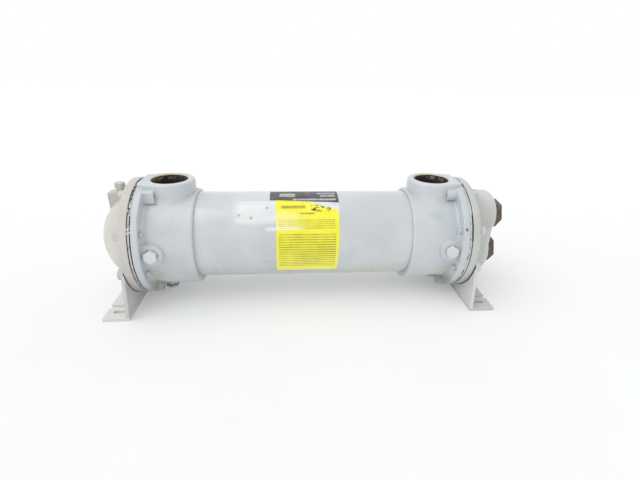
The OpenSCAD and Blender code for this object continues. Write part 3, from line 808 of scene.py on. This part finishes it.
def white_outline(u, v):
    """Straight label that shows past the torn edge of the yellow one."""
    left, width, foot, height = -0.012, 0.0700, 40.0, 31.0
    return left + width * u, foot + height * v


def plate_outline(u, v):
    """Plate with a level top over the shell's crown and a foot that falls to the right."""
    left, width, top = -0.0595, 0.1180, 95.0
    foot = 70.0 - 5.0 * u
    return left + width * u, foot + (top - foot) * v


own(shell_patch("white_label", white_outline, lift=0.00005, thick=0.00012, material=white_label(),
                columns=24, rows=16))
own(shell_patch("yellow_label", yellow_outline, lift=0.00020, thick=0.00015, material=yellow_label(),
                columns=40, rows=40))
own(shell_patch("dark_plate", plate_outline, lift=0.00010, thick=0.0004, material=dark_plate(),
                columns=30, rows=12))


# Camera at the photograph's place, as fitted to it: angles in radians

CAMERA_AT = Vector((-0.0328, -0.6689, 0.4025))
FOCAL_PX = 393.15
PICTURE_PX = 640
PITCH, TURN, ROLL = 0.4311, 0.0948, 0.026
forward = Vector((math.sin(TURN) * math.cos(PITCH), math.cos(TURN) * math.cos(PITCH), -math.sin(PITCH)))
level = Vector((math.cos(TURN), -math.sin(TURN), 0))
upward = level.cross(forward)
right = level * math.cos(ROLL) + upward * math.sin(ROLL)
up = upward * math.cos(ROLL) - level * math.sin(ROLL)
camera = bpy.data.objects.new("camera", bpy.data.cameras.new("camera"))
bpy.context.scene.collection.objects.link(camera)
turned = Matrix((right, up, -forward)).transposed().to_4x4()
camera.matrix_world = Matrix.Translation(CAMERA_AT) @ turned
camera.data.sensor_fit = "HORIZONTAL"
camera.data.sensor_width = 36
camera.data.lens = FOCAL_PX / PICTURE_PX * camera.data.sensor_width
camera.data.clip_start = 0.01
bpy.context.scene.camera = camera


# Floor, world and lamp

FLOOR_HALF = 6.0
FLOOR_LIFT = 0.25
WORLD_LIT = 0.88
WORLD_TINT = (0.96, 0.98, 1.0, 1)
BACKDROP_TINT = (1, 1, 1, 1)
SUN_FROM = (-0.8, -0.25, 1.0)
SUN_STRENGTH = 1.0
SUN_SPREAD = 60
SUN_TINT = (1.0, 0.99, 0.97)


def background_rays(tree):
    """One for camera, transmission and glossy rays, which see the pale background."""
    rays = tree.nodes.new("ShaderNodeLightPath")
    total = rays.outputs["Is Camera Ray"]
    for kind in ("Is Transmission Ray", "Is Glossy Ray"):
        either = tree.nodes.new("ShaderNodeMath")
        either.operation = "MAXIMUM"
        tree.links.new(total, either.inputs[0])
        tree.links.new(rays.outputs[kind], either.inputs[1])
        total = either.outputs[0]
    return total


def white_floor():
    """Pale floor that shows lighter than it is lit, so that the shadow on it stays soft."""
    s = Shade("floor", specular=0.05)
    near = s.mix(s.ramp(s.noise(3, 3, 0.5), 0.3, 0.7), srgb(241, 242, 241), srgb(244, 245, 244))
    color = s.mix(s.ramp(s.axis("Y"), -0.1, 0.9), near, srgb(249, 249, 249))
    s.bump(s.noise(40, 2, 0.5), 0.01, 0.0005)
    glow = s.nodes.new("ShaderNodeEmission")
    blend = s.nodes.new("ShaderNodeMixShader")
    s.link(s.times(background_rays(s.tree), FLOOR_LIFT), blend.inputs[0])
    s.link(s.bsdf.outputs[0], blend.inputs[1])
    s.link(glow.outputs[0], blend.inputs[2])
    s.link(blend.outputs[0], s.nodes["Material Output"].inputs["Surface"])
    return s.done(color, 0.6)


bm = bmesh.new()
bmesh.ops.create_grid(bm, x_segments=8, y_segments=8, size=FLOOR_HALF)
floor = finish_mesh("floor", bm, white_floor())

world = bpy.data.worlds.new("world")
bpy.context.scene.world = world
world.use_nodes = True
tree = world.node_tree
tree.nodes.clear()
out = tree.nodes.new("ShaderNodeOutputWorld")
lit = tree.nodes.new("ShaderNodeBackground")
lit.inputs["Color"].default_value = WORLD_TINT
lit.inputs["Strength"].default_value = WORLD_LIT
seen = tree.nodes.new("ShaderNodeBackground")
seen.inputs["Color"].default_value = BACKDROP_TINT
seen.inputs["Strength"].default_value = 1.0
mixer = tree.nodes.new("ShaderNodeMixShader")
tree.links.new(background_rays(tree), mixer.inputs[0])
tree.links.new(lit.outputs[0], mixer.inputs[1])
tree.links.new(seen.outputs[0], mixer.inputs[2])
tree.links.new(mixer.outputs[0], out.inputs["Surface"])

sun = bpy.data.objects.new("sun", bpy.data.lights.new("sun", "SUN"))
bpy.context.scene.collection.objects.link(sun)
sun.data.energy = SUN_STRENGTH
sun.data.angle = math.radians(SUN_SPREAD)
sun.data.color = SUN_TINT
sun.rotation_euler = (-Vector(SUN_FROM)).to_track_quat("-Z", "Y").to_euler()

bpy.context.scene.view_settings.view_transform = "Standard"
